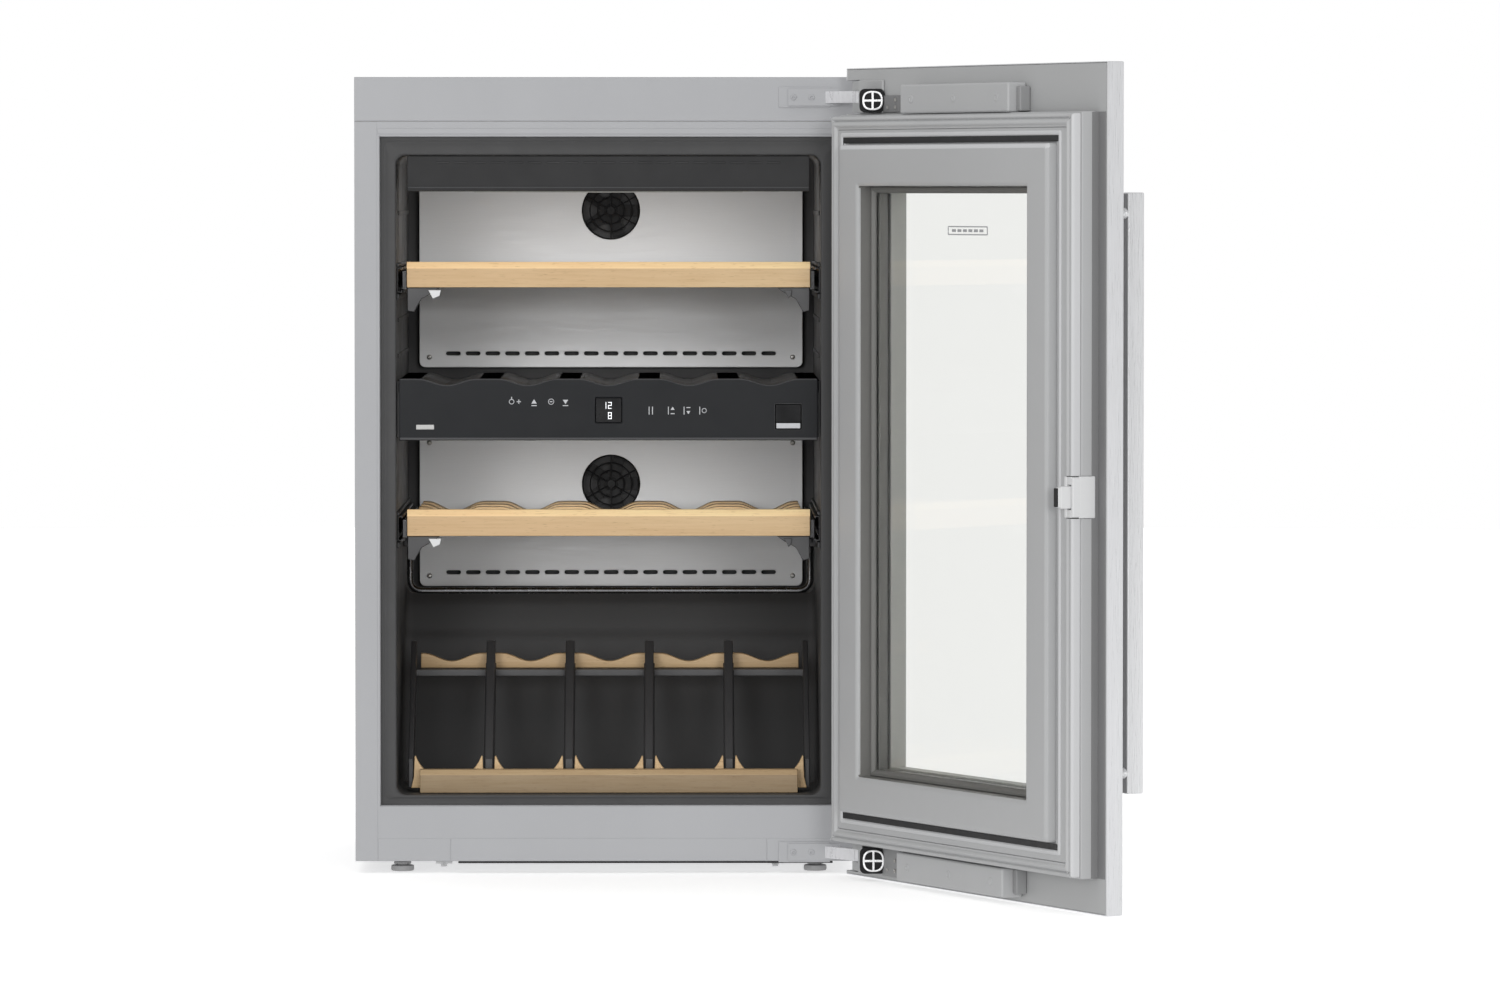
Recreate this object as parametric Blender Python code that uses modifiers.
"""Built-in two-zone wine cooler with a glazed steel door, modelled with its door standing open.

Lengths below are in millimetres and are turned into metres when a piece is made.
X runs across the cabinet, +X is the hinge side. The cabinet's front plane faces -Y.
Z = 0 is the underside of the base, and the origin is the middle of that underside.
"""

from math import cos, pi, radians, sin, sqrt

import bmesh
import bpy

# ---------------------------------------------------------------- driving dimensions (mm)
CASE_DEPTH = 496.0
CASE_HALF_W = 282.5
CASE_HEIGHT = 874.0
FRONT = -CASE_DEPTH / 2
SHEET = 1.0
GAP = 0.3

FRAME_T = 3.0                       # steel face frame around the opening
FRAME_OPEN_HALF_W = 255.0
FRAME_OPEN_Z = (61.3, 808.3)
FASCIA_Z = (825.0, 873.7)

LINER_FLANGE_Y = 9.0                # depth of the liner's front flange behind the frame
CAVITY_HALF_W = 236.6
CAVITY_Z = (73.3, 787.1)
CAVITY_BACK = 449.0
STEP_Y = (190.0, 330.0)             # sloping step over the machine space
STEP_TOP_Z = 283.0
LINER_WALL = 3.0
CORNER_R = 11.0

BOTTLE_PITCH = 90.0
BOTTLE_R = 39.0

UPPER_SHELF_Z = (639.8, 668.2)
LOWER_SHELF_Z = (362.1, 391.7)
SHELF_BAR_HALF_W = 225.0
SHELF_TRAVEL = 250.0

DIVIDER_Z = (469.4, 538.0)

DOOR_W, DOOR_T = 594.0, 20.0
DOOR_Z = (-12.0, 883.0)
DOOR_OUTER_Y = -54.0                # outer face of the shut door, from the cabinet's front plane
DOOR_SKIN = 1.2
DOOR_OPEN = 116.0                   # degrees
PIVOT_X, PIVOT_Y = 279.4, -42.1     # hinge axis, from the cabinet's front plane
INNER_U = (21.6, 576.6)             # inner door, along the door from its hinge edge
INNER_Z = (26.0, 831.0)
WINDOW_U = (104.5, 489.5)
WINDOW_Z = (104.8, 752.3)
SIGHT_U = (110.5, 483.5)            # opening in the outer panel
SIGHT_Z = (112.5, 746.6)

HANDLE_Z = (112.0, 746.0)
HANDLE_U = 548.0
HANDLE_GAP = 27.5
HANDLE_T = 19.7

# ---------------------------------------------------------------- scene set-up
for old in list(bpy.data.objects):
    bpy.data.objects.remove(old, do_unlink=True)

part = bpy.data.collections.new("wine_cooler")
bpy.context.scene.collection.children.link(part)
cutters = bpy.data.collections.new("cutters")
bpy.context.scene.collection.children.link(cutters)

MATERIALS = {}


def material(name, color, rough, metal=0.0):
    if name not in MATERIALS:
        m = bpy.data.materials.new(name)
        m.use_nodes = True
        b = m.node_tree.nodes["Principled BSDF"]
        b.inputs["Base Color"].default_value = (*color, 1.0)
        b.inputs["Roughness"].default_value = rough
        b.inputs["Metallic"].default_value = metal
        MATERIALS[name] = m
    return MATERIALS[name]


GREY_PAINT = ("grey_paint", (0.46, 0.47, 0.49), 0.45, 0.2)
DARK_PLASTIC = ("dark_plastic", (0.085, 0.085, 0.09), 0.5, 0.0)
CONTROL_PLASTIC = ("control_plastic", (0.075, 0.075, 0.08), 0.35, 0.0)
BACK_GREY = ("back_grey", (0.5, 0.51, 0.53), 0.4, 0.3)
BEECH = ("beech", (0.74, 0.56, 0.40), 0.55, 0.0)
STEEL = ("brushed_steel", (0.62, 0.63, 0.65), 0.3, 1.0)
ZINC = ("zinc", (0.6, 0.6, 0.62), 0.35, 0.9)
RAIL = ("rail_dark", (0.055, 0.055, 0.056), 0.4, 0.3)
CHROME = ("chrome", (0.7, 0.7, 0.72), 0.1, 1.0)
DOOR_GREY = ("door_grey", (0.36, 0.37, 0.39), 0.5, 0.0)
SEAL = ("seal", (0.55, 0.56, 0.58), 0.6, 0.0)
GLASS = ("glass", (0.85, 0.9, 0.88), 0.05, 0.0)
FOAM = ("foam", (0.8, 0.72, 0.5), 0.9, 0.0)
BLACK = ("black_paint", (0.02, 0.02, 0.02), 0.5, 0.0)
RUBBER = ("rubber", (0.05, 0.05, 0.05), 0.9, 0.0)
BACKING = ("door_backing", (0.42, 0.43, 0.45), 0.45, 0.0)
WHITE = ("white_plastic", (0.7, 0.7, 0.7), 0.4, 0.0)

# The door hangs from this empty, which stands on the hinge axis and carries the opening angle.
door_axis = bpy.data.objects.new("door_axis", None)
door_axis.location = (PIVOT_X / 1000, (FRONT + PIVOT_Y) / 1000, 0)
door_axis.rotation_euler = (0, 0, radians(DOOR_OPEN))
part.objects.link(door_axis)


def place(obj, centre, parent=None):
    """Sets an object down at a centre in millimetres; a door piece's is given with the door shut."""
    x, y, z = centre
    if parent is not None:
        obj.parent = parent
        x, y = x - PIVOT_X, y - FRONT - PIVOT_Y
    obj.location = (x / 1000, y / 1000, z / 1000)
    return obj


def finish(name, mesh, mat, centre, parent=None, cutter=False):
    obj = bpy.data.objects.new(name, mesh)
    if cutter:
        cutters.objects.link(obj)
        obj.hide_render = True
        obj.display_type = "WIRE"
    else:
        part.objects.link(obj)
        mesh.materials.append(material(*mat))
    return place(obj, centre, parent)


def bevel(obj, width, segments=1, angle=40):
    m = obj.modifiers.new("bevel", "BEVEL")
    m.width = width / 1000
    m.segments = segments
    m.limit_method = "ANGLE"
    m.angle_limit = radians(angle)
    m.harden_normals = False
    return m


def box(name, x, y, z, mat=None, parent=None, round_edges=0, segments=1):
    """A box from its limits. y is measured from the cabinet's front plane."""
    bm = bmesh.new()
    bmesh.ops.create_cube(bm, size=1)
    bmesh.ops.scale(
        bm, vec=((x[1] - x[0]) / 1000, (y[1] - y[0]) / 1000, (z[1] - z[0]) / 1000), verts=bm.verts
    )
    mesh = bpy.data.meshes.new(name)
    bm.to_mesh(mesh)
    bm.free()
    centre = ((x[0] + x[1]) / 2, FRONT + (y[0] + y[1]) / 2, (z[0] + z[1]) / 2)
    obj = finish(name, mesh, mat, centre, parent, cutter=mat is None)
    if round_edges:
        bevel(obj, round_edges, segments)
    return obj


def cylinder(name, r, length, centre, mat=None, axis="Z", parent=None, sides=24, r2=None):
    bm = bmesh.new()
    bmesh.ops.create_cone(
        bm, cap_ends=True, segments=sides, radius1=r / 1000,
        radius2=(r if r2 is None else r2) / 1000, depth=length / 1000,
    )
    mesh = bpy.data.meshes.new(name)
    bm.to_mesh(mesh)
    bm.free()
    x, y, z = centre
    obj = finish(name, mesh, mat, (x, FRONT + y, z), parent, cutter=mat is None)
    if axis == "X":
        obj.rotation_euler = (0, pi / 2, 0)
    elif axis == "Y":
        obj.rotation_euler = (pi / 2, 0, 0)
    mesh.shade_smooth()
    mesh.set_sharp_from_angle(angle=radians(35))
    return obj


def to_mesh(curve_obj, name, mat, centre, rotation, parent=None, cutter=False):
    """Turns a curve into a welded mesh object, so that it can be cut and joined."""
    bpy.context.view_layer.update()
    graph = bpy.context.evaluated_depsgraph_get()
    mesh = bpy.data.meshes.new_from_object(curve_obj.evaluated_get(graph))
    data = curve_obj.data
    bpy.data.objects.remove(curve_obj, do_unlink=True)
    bpy.data.curves.remove(data)
    bm = bmesh.new()
    bm.from_mesh(mesh)
    bmesh.ops.remove_doubles(bm, verts=bm.verts, dist=0.000002)
    bmesh.ops.recalc_face_normals(bm, faces=bm.faces)
    bm.to_mesh(mesh)
    bm.free()
    mesh.name = name
    mesh.materials.clear()
    obj = finish(name, mesh, mat, centre, parent, cutter)
    obj.rotation_euler = rotation
    return obj


def outline(name, loops, span, plane, mat=None, parent=None):
    """A flat outline with thickness. plane "XZ": loops hold (x, z), span is y from the front plane.
    plane "YZ": loops hold (y, z), span is x. plane "XY": loops hold (x, y), span is z."""
    curve = bpy.data.curves.new(name + "_outline", "CURVE")
    curve.dimensions = "2D"
    curve.fill_mode = "BOTH"
    curve.extrude = (span[1] - span[0]) / 2000
    for loop in loops:
        spline = curve.splines.new("POLY")
        spline.points.add(len(loop) - 1)
        for p, (a, b) in zip(spline.points, loop):
            p.co = (a / 1000, b / 1000, 0, 1)
        spline.use_cyclic_u = True
    obj = bpy.data.objects.new(name + "_outline", curve)
    part.objects.link(obj)
    mid = (span[0] + span[1]) / 2
    if plane == "XZ":
        centre, turn = (0, FRONT + mid, 0), (pi / 2, 0, 0)
    elif plane == "YZ":
        centre, turn = (mid, FRONT, 0), (pi / 2, 0, pi / 2)
    else:
        centre, turn = (0, FRONT, mid), (0, 0, 0)
    return to_mesh(obj, name, mat, centre, turn, parent, cutter=mat is None)


def wire(name, points, r, mat, resolution=2, parent=None):
    """A round bar along points (x, y from the front plane, z)."""
    curve = bpy.data.curves.new(name + "_path", "CURVE")
    curve.dimensions = "3D"
    curve.bevel_depth = r / 1000
    curve.bevel_resolution = resolution
    curve.use_fill_caps = True
    spline = curve.splines.new("POLY")
    spline.points.add(len(points) - 1)
    for p, (x, y, z) in zip(spline.points, points):
        p.co = (x / 1000, y / 1000, z / 1000, 1)
    obj = bpy.data.objects.new(name + "_path", curve)
    part.objects.link(obj)
    return to_mesh(obj, name, mat, (0, FRONT, 0), (0, 0, 0), parent)


def rounded(points, radius, steps=5):
    """Corners of an open path of (x, y, z) points turned into arcs."""
    from mathutils import Vector

    out = [Vector(points[0])]
    for a, b, c in zip(points, points[1:], points[2:]):
        a, b, c = Vector(a), Vector(b), Vector(c)
        p, q = b + (a - b).normalized() * radius, b + (c - b).normalized() * radius
        for i in range(steps + 1):
            t = i / steps
            out.append((1 - t) ** 2 * p + 2 * t * (1 - t) * b + t * t * q)
    out.append(Vector(points[-1]))
    return [tuple(v) for v in out]


def cut(obj, *tools):
    for tool in tools:
        m = obj.modifiers.new("cut", "BOOLEAN")
        m.operation = "DIFFERENCE"
        m.solver = "EXACT"
        m.object = tool
    return obj


def join(obj, *pieces):
    """Unites further pieces with an object; each is kept as a hidden guide."""
    for piece in pieces:
        m = obj.modifiers.new("join", "BOOLEAN")
        m.operation = "UNION"
        m.solver = "EXACT"
        m.object = piece
    return obj


def door_x(u):
    """Shut-door X of a place u along the door from its hinge edge."""
    return DOOR_W / 2 - u


def door_span(u):
    return (door_x(u[1]), door_x(u[0]))


def door_y(w):
    """Shut-door Y, from the cabinet's front plane, of a depth w behind the door's outer face."""
    return (DOOR_OUTER_Y + w[0], DOOR_OUTER_Y + w[1])


# ---------------------------------------------------------------- cabinet shell
SIDE_Z = (0.0, CASE_HEIGHT)
for side, s in (("left", -1), ("right", 1)):
    # folded sheet: a wall and a bottom flange that carries the feet
    wall = [
        (s * CASE_HALF_W, 0), (s * CASE_HALF_W, CASE_HEIGHT),
        (s * (CASE_HALF_W - SHEET), CASE_HEIGHT), (s * (CASE_HALF_W - SHEET), SHEET + 0.5),
        (s * 167, SHEET + 0.5), (s * 167, 0),
    ]
    outline(f"{side}_side_panel", [wall], (FRAME_T + GAP, CASE_DEPTH), "XZ", GREY_PAINT)

inner = CASE_HALF_W - SHEET - GAP
box("top_plate", (-inner, inner), (FRAME_T + GAP, CASE_DEPTH), (CASE_HEIGHT - 1.2, CASE_HEIGHT), GREY_PAINT)
box("base_plate", (-166.7, 166.7), (FRAME_T + GAP, CASE_DEPTH - 2), (0, 1.5), GREY_PAINT)
# back wall, open at the bottom over the machine space
box("back_panel", (-inner, inner), (CASE_DEPTH - 1.2, CASE_DEPTH), (262, CASE_HEIGHT - 1.5), GREY_PAINT)

# face frame, with the opening for the liner
hw = CASE_HALF_W
front_frame = outline(
    "front_frame",
    [
        [(-hw, 0), (hw, 0), (hw, FASCIA_Z[0] - 0.3), (-hw, FASCIA_Z[0] - 0.3)],
        [
            (-FRAME_OPEN_HALF_W, FRAME_OPEN_Z[0]), (FRAME_OPEN_HALF_W, FRAME_OPEN_Z[0]),
            (FRAME_OPEN_HALF_W, FRAME_OPEN_Z[1]), (-FRAME_OPEN_HALF_W, FRAME_OPEN_Z[1]),
        ],
    ],
    (0, FRAME_T), "XZ", GREY_PAINT,
)
# top fascia above the face frame
top_fascia = box("top_fascia", (-hw, hw), (-0.8, FRAME_T), FASCIA_Z, GREY_PAINT, round_edges=0.5)

# ---------------------------------------------------------------- liner
cz0, cz1 = CAVITY_Z
t = LINER_WALL
liner = outline(
    "liner",
    [[
        (LINER_FLANGE_Y, cz0 - t), (STEP_Y[0] + 2, cz0 - t), (STEP_Y[1] + 2, STEP_TOP_Z - t),
        (CAVITY_BACK + t, STEP_TOP_Z - t), (CAVITY_BACK + t, cz1 + t), (LINER_FLANGE_Y, cz1 + t),
    ]],
    (-CAVITY_HALF_W - t, CAVITY_HALF_W + t), "YZ", DARK_PLASTIC,
)
flange = box(
    "liner_flange", (-FRAME_OPEN_HALF_W - 6, FRAME_OPEN_HALF_W + 6), (LINER_FLANGE_Y, LINER_FLANGE_Y + 2.5),
    (FRAME_OPEN_Z[0] - 5, FRAME_OPEN_Z[1] + 5),
)
cavity = outline(
    "liner_cavity",
    [[
        (-60, cz0), (STEP_Y[0], cz0), (STEP_Y[1], STEP_TOP_Z), (CAVITY_BACK, STEP_TOP_Z),
        (CAVITY_BACK, cz1), (-60, cz1),
    ]],
    (-CAVITY_HALF_W, CAVITY_HALF_W), "YZ",
)
bevel(cavity, CORNER_R, 3, 60)
join(liner, flange)
cut(liner, cavity)

# insulation between liner and shell
insulation = box(
    "insulation", (-inner + 0.2, inner - 0.2), (FRAME_T + 9.3, CASE_DEPTH - 1.6), (1.9, CASE_HEIGHT - 1.6), FOAM
)
liner_space = outline(
    "liner_space",
    [[
        (-20, cz0 - t - 0.4), (STEP_Y[0] + 2.4, cz0 - t - 0.4), (STEP_Y[1] + 2.4, STEP_TOP_Z - t - 0.4),
        (CAVITY_BACK + t + 0.4, STEP_TOP_Z - t - 0.4), (CAVITY_BACK + t + 0.4, cz1 + t + 0.4), (-20, cz1 + t + 0.4),
    ]],
    (-CAVITY_HALF_W - t - 0.4, CAVITY_HALF_W + t + 0.4), "YZ",
)
machine_space = outline(
    "machine_space",
    [[(226, -20), (226, 70), (345, 250), (520, 250), (520, -20)]],
    (-262, 262), "YZ",
)
cut(insulation, liner_space, machine_space)

# ---------------------------------------------------------------- inside of the cabinet
# light cover across the ceiling at the front
top_cover = outline(
    "top_cover",
    [[(12, 748.5), (14, 746.8), (96, 752), (104, 786.6), (12, 786.6)]],
    (-224, 224), "YZ", CONTROL_PLASTIC,
)
bevel(top_cover, 0.8, 1)
box("light_strip", (-150, 150), (40, 62), (745.6, 748.0), WHITE, round_edges=0.5)
# thin covers over the evaporators, each with a round air outlet
for zone, z in (("upper", (541.5, 784.5)), ("lower", (286.0, 465.5))):
    cover = box(f"{zone}_back_cover", (-223.5, 223.5), (434.5, 437), z, BACK_GREY, round_edges=0.6)
    hub_z = z[1] - 60
    cut(cover, cylinder(f"{zone}_outlet", 34, 20, (0, 436, hub_z), axis="Y", sides=32))
    # circulation fan behind the outlet: a hub and five blades
    fan = cylinder(f"{zone}_fan", 10, 7, (0, 442.3, hub_z), BLACK, axis="Y", sides=20)
    for k in range(5):
        blade = box(f"{zone}_blade_{k}", (8, 31), (440.6, 443.8), (hub_z - 7, hub_z + 7))
        # each blade is turned about the hub's centre and pitched
        blade.rotation_mode = "XYZ"
        a = 2 * pi * k / 5
        blade.location = (19.5 * cos(a) / 1000, (FRONT + 442.3) / 1000, (hub_z + 19.5 * sin(a)) / 1000)
        blade.rotation_euler = (0, -a, 0)
        join(fan, blade)

# insulated divider between the zones, scalloped where bottles lie on it
def scallops(z_low, z_high, half_w, depth, step=7, pitch=BOTTLE_PITCH, half=33.0):
    """Top edge of a bottle rest from left to right: shallow arcs with level ridges between."""
    pts = [(-half_w, z_high)]
    for n in range(-2, 3):
        c = n * pitch
        for i in range(step + 1):
            x = -half + 2 * half * i / step
            pts.append((c + x, z_high - depth * (0.5 + 0.5 * cos(pi * x / half))))
    pts.append((half_w, z_high))
    return pts


def rest_outline(z_base, z_high, half_w, depth, step=7):
    return [(-half_w, z_base), (half_w, z_base)] + scallops(z_base, z_high, half_w, depth, step)[::-1]


divider = outline(
    "divider", [rest_outline(DIVIDER_Z[0] + 3, DIVIDER_Z[1] - 2.5, CAVITY_HALF_W - 0.8, 7.5)], (18, 432), "XZ", DARK_PLASTIC
)
divider_hollow = box("divider_hollow", (-229, 229), (26, 460), (480, 521))
cut(divider, divider_hollow)
control_panel = outline(
    "control_panel", [rest_outline(DIVIDER_Z[0], DIVIDER_Z[1], 233.2, 7.0, 9)], (10, 17.7), "XZ", CONTROL_PLASTIC
)
button_well = box("button_well", (185.5, 215.5), (0, 30), (481.3, 510.3))
display_well = box("display_well", (-14.6, 15.0), (0, 30), (488.8, 517.2))
cut(control_panel, button_well, display_well)
box("display", (-14.2, 14.6), (10.6, 16.5), (489.2, 516.8), GLASS, round_edges=0.4)
box("power_button", (186, 215), (9.4, 14.6), (481.8, 509.8), CONTROL_PLASTIC, round_edges=0.8)

# ---------------------------------------------------------------- sliding shelves
def shelf(name, z):
    z0, z1 = z
    # beech front bar with a chamfered top edge
    outline(
        f"{name}_front_bar",
        [[(22, z0), (22, z1 - 6.5), (24.5, z1), (38, z1), (40, z1 - 2), (40, z0)]],
        (-SHELF_BAR_HALF_W, SHELF_BAR_HALF_W), "YZ", BEECH,
    )
    # slatted deck: scalloped cross slats over two side runners
    top = z1 - 4
    deck = outline(f"{name}_deck", [rest_outline(z0 + 3, top, 217.0, 11)], (40.3, 70), "XZ", BEECH)
    for k, y in enumerate((118, 196, 274, 352)):
        join(deck, outline(f"{name}_slat_{k}", [rest_outline(z0 + 3, top, 217.0, 11)], (y, y + 32), "XZ"))
    for side, s in (("left", -1), ("right", 1)):
        x = sorted((s * 224.0, s * 208.0))
        join(deck, box(f"{name}_runner_{side}", tuple(x), (40.8, 400), (z0 + 4, z0 + 15)))
        # telescopic rail: the fixed channel on the wall, and the slide that carries the deck
        xs = sorted((s * 236.3, s * 230.6))
        box(f"{name}_rail_{side}", tuple(xs), (34, 426), (z0 - 6, z0 + 22), RAIL, round_edges=0.8)
        xs = sorted((s * 230.3, s * 225.2))
        slide = box(f"{name}_slide_{side}", tuple(xs), (28, 408), (z0 - 2, z0 + 18), RAIL, round_edges=0.8)


shelf("upper_shelf", UPPER_SHELF_Z)
shelf("lower_shelf", LOWER_SHELF_Z)

# ---------------------------------------------------------------- sloping bottle rack
box("rack_front_bar", (-211.5, 211.5), (32, 52), (73.7, 99.8), BEECH, round_edges=2.5, segments=2)


def cradle_outline(z_base, centre_z, half=37.0, gap_z=90.0, half_w=205.0, step=10):
    """Round cradles with a horn on each side, and a level step between neighbours."""
    pts = []
    for n in range(-2, 3):
        c = n * BOTTLE_PITCH
        pts.append((c - half - 2, gap_z))
        for i in range(step + 1):
            x = -half + 2 * half * i / step
            pts.append((c + x, centre_z - sqrt(BOTTLE_R**2 - x**2)))
        pts.append((c + half + 2, gap_z))
    return [(-half_w - 16, z_base), (half_w + 16, z_base)][::-1] + pts


rack_cradle = outline(
    "rack_cradle",
    [[(p[0], p[1]) for p in cradle_outline(78.0, 126.5, half_w=206.0)]],
    (52.3, 62), "XZ", BEECH,
)
# runners between the bottles, tied together by a front and a rear cross strip
SLOPE = radians(38)
runner = [(62.3, 78), (74, 78), (196, 200), (196, 236), (186, 236), (62.3, 110)]
rack_frame = outline("rack_frame", [runner], (-225.5, -219.5), "YZ", DARK_PLASTIC)
for k in range(-2, 2):
    x = (k + 0.5) * BOTTLE_PITCH
    join(rack_frame, outline(f"rack_runner_{k + 2}", [runner], (x - 5, x + 5), "YZ"))
join(rack_frame, outline("rack_runner_end", [runner], (219.5, 225.5), "YZ"))
join(rack_frame, box("rack_tie_front", (-225, 225), (64, 76), (79, 83)))
join(rack_frame, box("rack_tie_rear", (-225, 225), (178, 195), (196, 204)))
rear_bar = outline(
    "rack_rear_bar",
    [[(p[0], p[1]) for p in rest_outline(204.5, 221.0, 215.0, 9.0)]],
    (196.3, 212), "XZ", BEECH,
)
# bent wire that the bottle necks lean on, hooked into the side walls
wire(
    "neck_rail",
    rounded(
        [(-229, 262, 352), (-229, 252, 290), (229, 252, 290), (229, 262, 352)], 12
    ),
    3.6, CHROME, 3,
)

# ---------------------------------------------------------------- machine space
compressor = cylinder("compressor", 60, 120, (-110, 405, 85), BLACK, sides=36)
bevel(compressor, 16, 4, 50)
plinth = box("compressor_plinth", (-175, -45), (340, 470), (2.0, 9))
neck = cylinder("compressor_neck", 30, 30, (-110, 405, 20), sides=24)
join(compressor, neck, plinth)
# open evaporation tray on top of the compressor, moulded onto its neck
tray = box("drip_tray", (-175, -45), (350, 462), (140, 162))
bevel(tray, 3, 1)
cut(tray, box("tray_hollow", (-171, -49), (354, 458), (144, 190)))
join(compressor, tray)
# condenser: a serpentine of tube
run = []
for k in range(8):
    x = (20, 225) if k % 2 == 0 else (225, 20)
    run += [(x[0], 470, 25 + 26 * k), (x[1], 470, 25 + 26 * k)]
wire("condenser", rounded(run, 12, 3), 3.5, BLACK, 1)
box("mains_inlet", (-255, -215), (470, 494), (20, 52), BLACK, round_edges=1)
socket = box("inlet_hole", (-247, -223), (482, 520), (27, 45))
cut(bpy.data.objects["mains_inlet"], socket)

# feet under the side flanges
for name, x, y in (
    ("front_left_foot", -231, 32), ("front_right_foot", 231, 32),
    ("rear_left_foot", -231, 455), ("rear_right_foot", 231, 455),
):
    foot = cylinder(name, 13, 6.5, (x, y, -9.75), RUBBER, sides=20)
    stem = cylinder(name + "_stem", 6, 7.2, (x, y, -3.9), sides=12)
    join(foot, stem)

# ---------------------------------------------------------------- hinges
HINGES = (("top", (845.0, 858.0), (833.0, 869.5)), ("bottom", (3.5, 16.5), (-7.5, 24.0)))
for where, arm_z, leaf_z in HINGES:
    # arm: flat bar from the face frame out to a knuckle, with the pin fixed in it
    ax, ay, bx, by = 246.0, -1.2, PIVOT_X, PIVOT_Y
    dx, dy = bx - ax, by - ay
    n = sqrt(dx * dx + dy * dy)
    px, py = -dy / n * 4.5, dx / n * 4.5
    arm = outline(
        f"{where}_hinge_arm",
        [[(ax - 6.5, ay - 0.7), (bx - px, by - py), (bx + px, by + py), (ax + 6.5, ay - 0.7)]],
        arm_z, "XY", ZINC,
    )
    knuckle = cylinder(f"{where}_knuckle", 6.5, arm_z[1] - arm_z[0] + 0.6, (bx, by, sum(arm_z) / 2), sides=24)
    pin = cylinder(f"{where}_pin", 3.0, leaf_z[1] - leaf_z[0] - 2, (bx, by, sum(leaf_z) / 2), sides=24)
    foot_plate = box(f"{where}_arm_plate", (200, 258), (-4.2, -1.1), (arm_z[0] - 3, arm_z[1] + 3))
    join(arm, knuckle, foot_plate, pin)

    # leaf on the door: a plate on the panel's inner face with two ears round the pin
    u_pin, w_pin = door_x(PIVOT_X), PIVOT_Y - DOOR_OUTER_Y
    leaf = box(
        f"{where}_hinge_leaf", door_span((34.5, 92)), door_y((DOOR_T + GAP, DOOR_T + 3.2)),
        (leaf_z[0] + 0.3, leaf_z[1] - 0.3), ZINC, door_axis, round_edges=0.6,
    )
    for tag, z in (("low", (leaf_z[0] + 1, arm_z[0] - 0.5)), ("high", (arm_z[1] + 0.5, leaf_z[1] - 1))):
        ear = outline(
            f"{where}_{tag}_ear",
            [[
                (door_x(u_pin) + 6.3 - PIVOT_X, DOOR_OUTER_Y + w_pin - 6.3 - PIVOT_Y),
                (door_x(u_pin) + 6.3 - PIVOT_X, DOOR_OUTER_Y + w_pin + 6.3 - PIVOT_Y),
                (door_x(36.5) - PIVOT_X, DOOR_OUTER_Y + DOOR_T + 3.0 - PIVOT_Y),
                (door_x(52) - PIVOT_X, DOOR_OUTER_Y + DOOR_T + 3.0 - PIVOT_Y),
                (door_x(52) - PIVOT_X, DOOR_OUTER_Y + DOOR_T + 1.0 - PIVOT_Y),
                (door_x(28.4) - PIVOT_X, DOOR_OUTER_Y + DOOR_T + 0.9 - PIVOT_Y),
                (door_x(27) - PIVOT_X, DOOR_OUTER_Y + w_pin - 6.3 - PIVOT_Y),
            ]],
            z, "XY", None, None,
        )
        ear.parent = door_axis
        ear.location = (0, 0, (z[0] + z[1]) / 2000)
        join(leaf, ear)
    hole = cylinder(f"{where}_pin_hole", 3.1, 60, (PIVOT_X, PIVOT_Y, sum(leaf_z) / 2), parent=door_axis, sides=24)
    cut(leaf, hole)

# ---------------------------------------------------------------- door
# folded steel skin: a pan with returned edges, cut for the window
skin = box("door_panel", door_span((0, DOOR_W)), door_y((0, DOOR_T)), DOOR_Z, STEEL, door_axis)
pan = box(
    "door_pan_hollow", door_span((DOOR_SKIN, DOOR_W - DOOR_SKIN)), door_y((DOOR_SKIN, DOOR_T + 20)),
    (DOOR_Z[0] + DOOR_SKIN, DOOR_Z[1] - DOOR_SKIN), None, door_axis,
)
sight = box("door_sight_hole", door_span(SIGHT_U), door_y((-20, DOOR_T + 20)), SIGHT_Z, None, door_axis)
cut(skin, pan, sight)
# backing core inside the pan, with a pocket for each hinge
core = box(
    "door_core", door_span((DOOR_SKIN + 0.4, DOOR_W - DOOR_SKIN - 0.4)), door_y((DOOR_SKIN + 0.4, DOOR_T)),
    (DOOR_Z[0] + DOOR_SKIN + 0.4, DOOR_Z[1] - DOOR_SKIN - 0.4), BACKING, door_axis,
)
cut(core, sight)
for where, arm_z, leaf_z in HINGES:
    pocket = box(
        f"{where}_hinge_pocket", door_span((-10, 32.5)), door_y((3.0, DOOR_T + 20)),
        (leaf_z[0] - 0.5, leaf_z[1] + 0.5), None, door_axis,
    )
    cut(skin, pocket)
    cut(core, pocket)

# inner door frame, glazing and seal
window = box("door_window_hole", door_span(WINDOW_U), door_y((-20, 90)), WINDOW_Z, None, door_axis)
frame_in = box("door_frame", door_span(INNER_U), door_y((24.7, 41.0)), INNER_Z, DOOR_GREY, door_axis, round_edges=1.2, segments=2)
cut(frame_in, window)
box(
    "outer_glass", door_span((WINDOW_U[0] - 9, WINDOW_U[1] + 9)), door_y((DOOR_T + GAP, 24.4)),
    (WINDOW_Z[0] - 9, WINDOW_Z[1] + 9), GLASS, door_axis,
)
box(
    "inner_glass", door_span((WINDOW_U[0] + 0.4, WINDOW_U[1] - 0.4)), door_y((36.0, 40.0)),
    (WINDOW_Z[0] + 0.4, WINDOW_Z[1] - 0.4), GLASS, door_axis,
)
spacer = box(
    "glass_spacer", door_span((WINDOW_U[0] + 0.4, WINDOW_U[1] - 0.4)), door_y((24.8, 35.6)),
    (WINDOW_Z[0] + 0.4, WINDOW_Z[1] - 0.4), BLACK, door_axis,
)
cut(spacer, box(
    "spacer_hole", door_span((WINDOW_U[0] + 7, WINDOW_U[1] - 7)), door_y((0, 60)),
    (WINDOW_Z[0] + 7, WINDOW_Z[1] - 7), None, door_axis,
))
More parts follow.
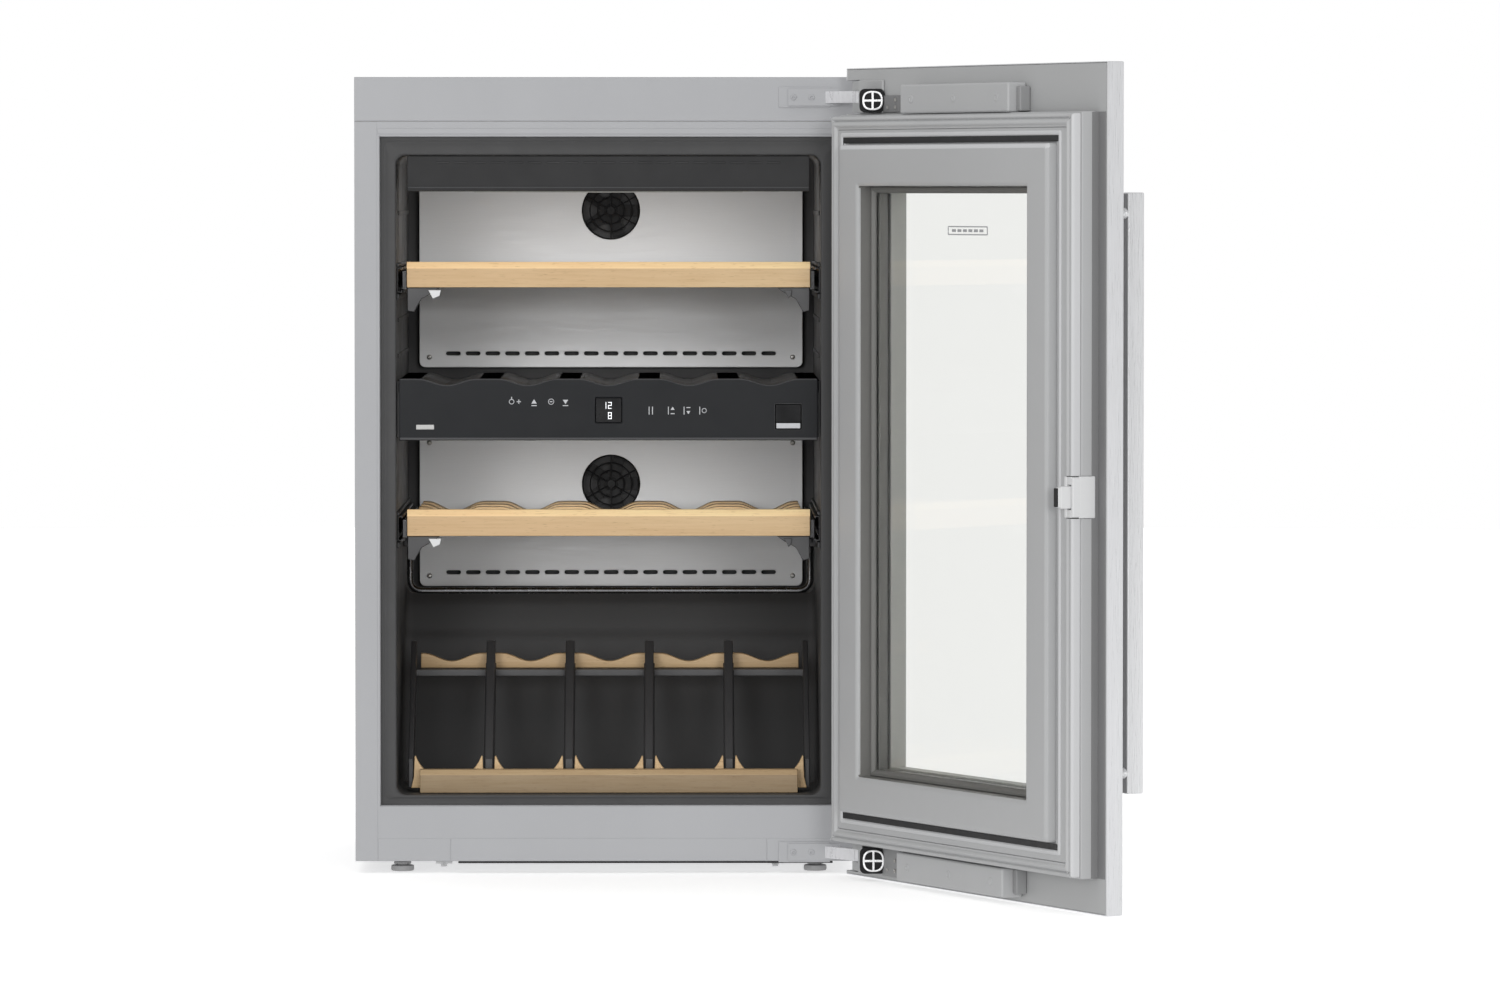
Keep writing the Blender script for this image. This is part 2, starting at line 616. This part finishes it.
panel_u, panel_z = (38.0, 560.2), (42.5, 814.5)
inner_panel = box("door_inner_panel", door_span(panel_u), door_y((41.3, 50.0)), panel_z, DOOR_GREY, door_axis, round_edges=1.0)
raised = box("inner_panel_raised", door_span((57.5, 536.5)), door_y((49.5, 60.5)), (62.5, 798.0), None, door_axis)
bevel(raised, 4, 2)
join(inner_panel, raised)
cut(inner_panel, window)
gasket = box("door_gasket", door_span((23.0, 575.2)), door_y((41.3, 52.9)), (27.4, 829.6), SEAL, door_axis, round_edges=2.5, segments=2)
cut(gasket, box(
    "gasket_hole", door_span((35.5, 562.7)), door_y((20, 80)), (40.0, 817.0), None, door_axis,
))
# blocks that fix the steel panel to the inner door, above and below it
box("top_panel_bracket", door_span((171, 418)), door_y((DOOR_T + GAP, 43)), (INNER_Z[1] + GAP, 863), BACKING, door_axis, round_edges=2.5, segments=2)
box("bottom_panel_bracket", door_span((169, 412)), door_y((DOOR_T + GAP, 46)), (-6, INNER_Z[0] - GAP), BACKING, door_axis, round_edges=2.5, segments=2)

# handle: an upright bar on two posts, which moves out a little when pulled
handle = box("handle", door_span((HANDLE_U - 6, HANDLE_U + 6)), door_y((-HANDLE_GAP - HANDLE_T, -HANDLE_GAP)), HANDLE_Z, STEEL, door_axis, round_edges=1.0)
for tag, z in (("low", HANDLE_Z[0] + 22), ("high", HANDLE_Z[1] - 22)):
    post = cylinder(f"handle_{tag}_post", 5, HANDLE_GAP + 3 - 0.3, (door_x(HANDLE_U), DOOR_OUTER_Y - (HANDLE_GAP + 3) / 2 - 0.15, z), axis="Y", parent=door_axis, sides=20)
    join(handle, post)

# opening plunger in its guide, on the free edge of the inner door
PLUNGER_Z = (405.1, 449.2)
guide_space = box(
    "plunger_guide_space", door_span((560.5, 590)), door_y((24.0, 70)),
    (PLUNGER_Z[0] - 0.4, PLUNGER_Z[1] + 0.4), None, door_axis,
)
cut(frame_in, guide_space)
cut(gasket, guide_space)
guide = box("plunger_guide", door_span((561, 578.5)), door_y((24.7, 53.0)), PLUNGER_Z, WHITE, door_axis, round_edges=0.8)
cut(guide, box(
    "plunger_bore", door_span((565.4, 574.6)), door_y((27.0, 80)),
    (PLUNGER_Z[0] + 9.6, PLUNGER_Z[1] - 9.6), None, door_axis,
))
plunger = outline(
    "plunger",
    [[
        (DOOR_OUTER_Y + 44, PLUNGER_Z[0] + 10), (DOOR_OUTER_Y + 64, PLUNGER_Z[0] + 10),
        (DOOR_OUTER_Y + 69, PLUNGER_Z[0] + 12.5), (DOOR_OUTER_Y + 69, PLUNGER_Z[1] - 12.5),
        (DOOR_OUTER_Y + 64, PLUNGER_Z[1] - 10), (DOOR_OUTER_Y + 44, PLUNGER_Z[1] - 10),
    ]],
    (-4.2, 4.2), "YZ", WHITE, None,
)
plunger.parent = door_axis
plunger.location = ((door_x(570) - PIVOT_X) / 1000, -PIVOT_Y / 1000, 0)
